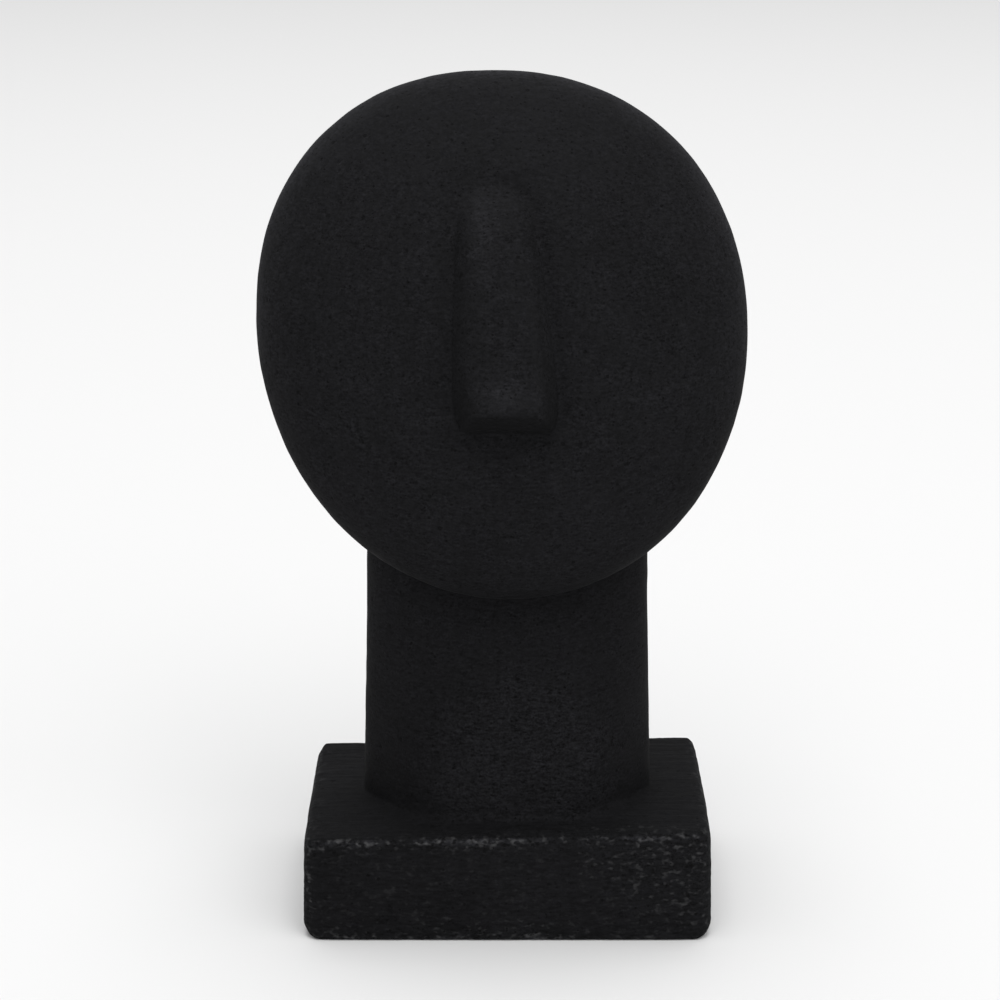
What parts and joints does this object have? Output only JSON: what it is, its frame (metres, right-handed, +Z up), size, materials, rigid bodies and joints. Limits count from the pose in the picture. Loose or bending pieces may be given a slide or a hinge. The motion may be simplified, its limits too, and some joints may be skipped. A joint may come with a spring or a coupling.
{
  "type": "stylised stone head sculpture",
  "caption": "Cycladic-manner stone head: an egg-shaped face tilted back with a long wedge nose, on a broad neck and a low rectangular plinth.",
  "frame": {"origin": "centre of the plinth's flat underside, where the head stands", "axes": "+Z up, the face looks along -Y, +X to the viewer's right of the face"},
  "size_m": [0.1426, 0.0804, 0.2466],
  "materials": {
    "stone": "matt, finely porous dark volcanic stone, with pale bruises along the plinth's edges"
  },
  "bodies": {
    "root": {"cycladic_head": "stone"}
  },
  "joints": []
}
